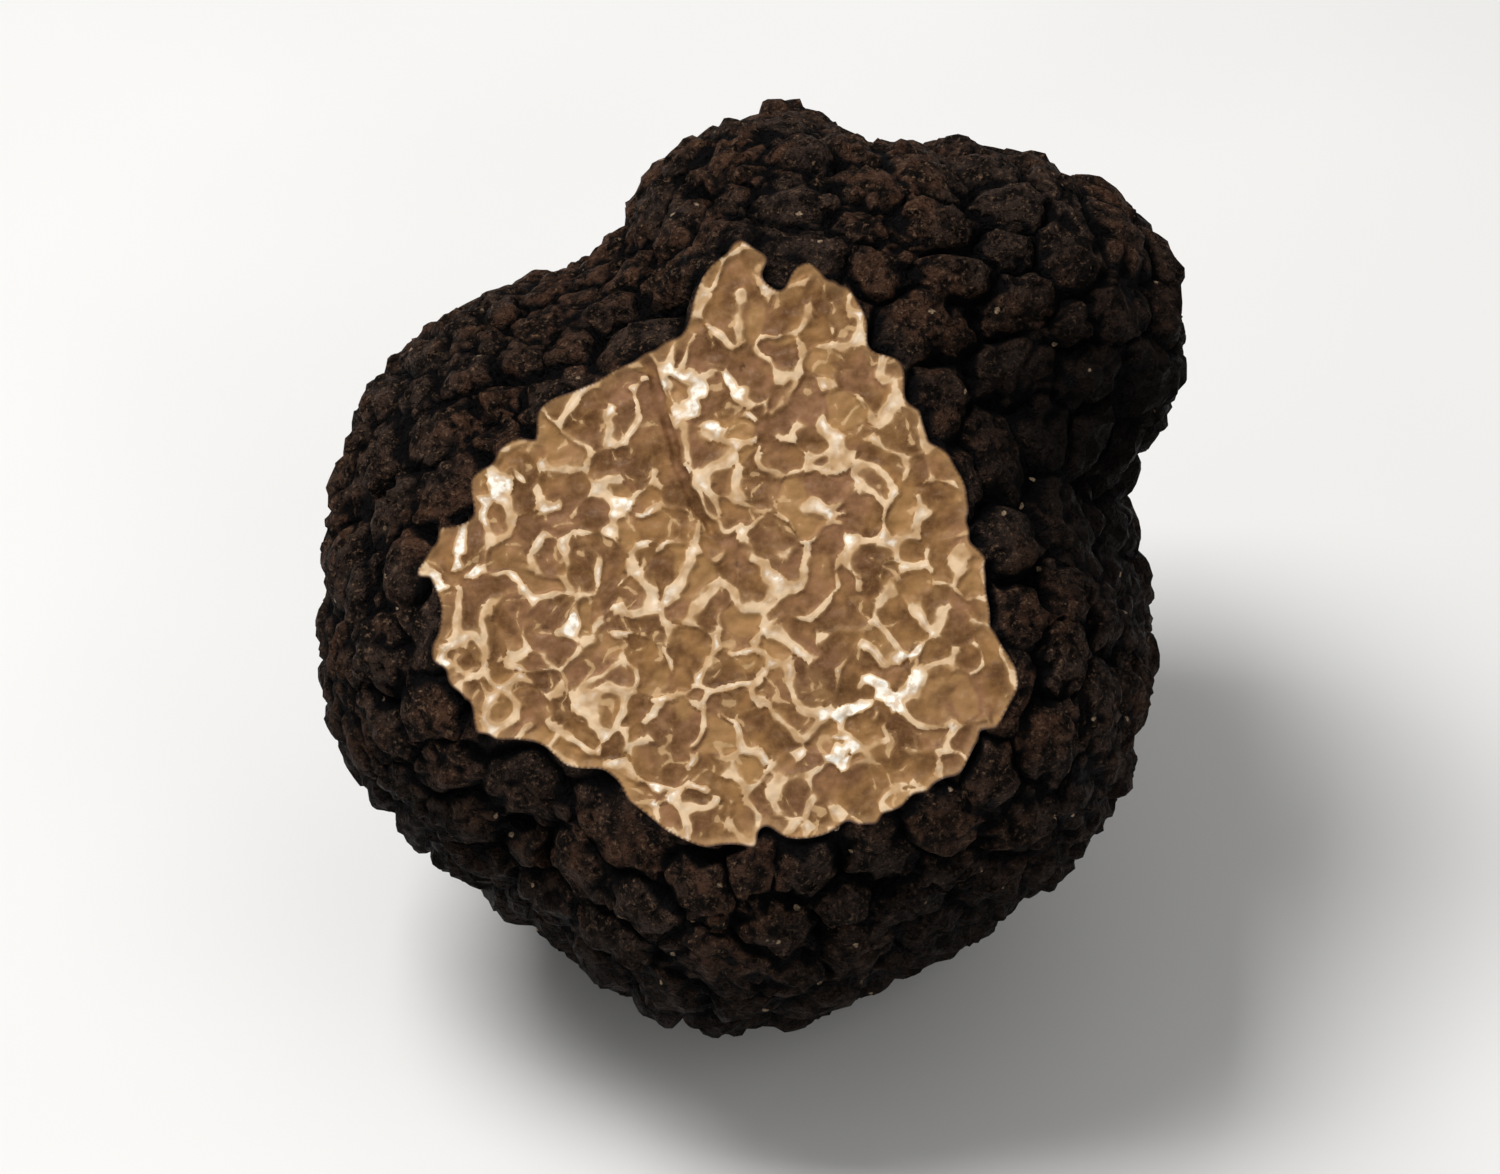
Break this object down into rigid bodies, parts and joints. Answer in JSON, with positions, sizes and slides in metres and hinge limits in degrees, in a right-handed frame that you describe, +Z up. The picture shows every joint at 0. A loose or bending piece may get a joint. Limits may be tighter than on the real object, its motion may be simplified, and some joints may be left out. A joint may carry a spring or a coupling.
{
  "type": "black truffle",
  "caption": "Lumpy black truffle covered in polygonal warts, with a slice cut off its front that shows pale brown flesh marbled with white veins. Rests on a small flat spot.",
  "frame": {"origin": "on the surface that the truffle rests on, under the middle of its bounding box", "axes": "+Z up, -Y the side that the cut face looks to (it also looks up), +X to the right of someone who looks at the cut"},
  "size_m": [0.0445, 0.0472, 0.0453],
  "materials": {
    "skin": "rough, matt and dusty"
  },
  "bodies": {
    "root": {"truffle": "skin"}
  },
  "joints": []
}
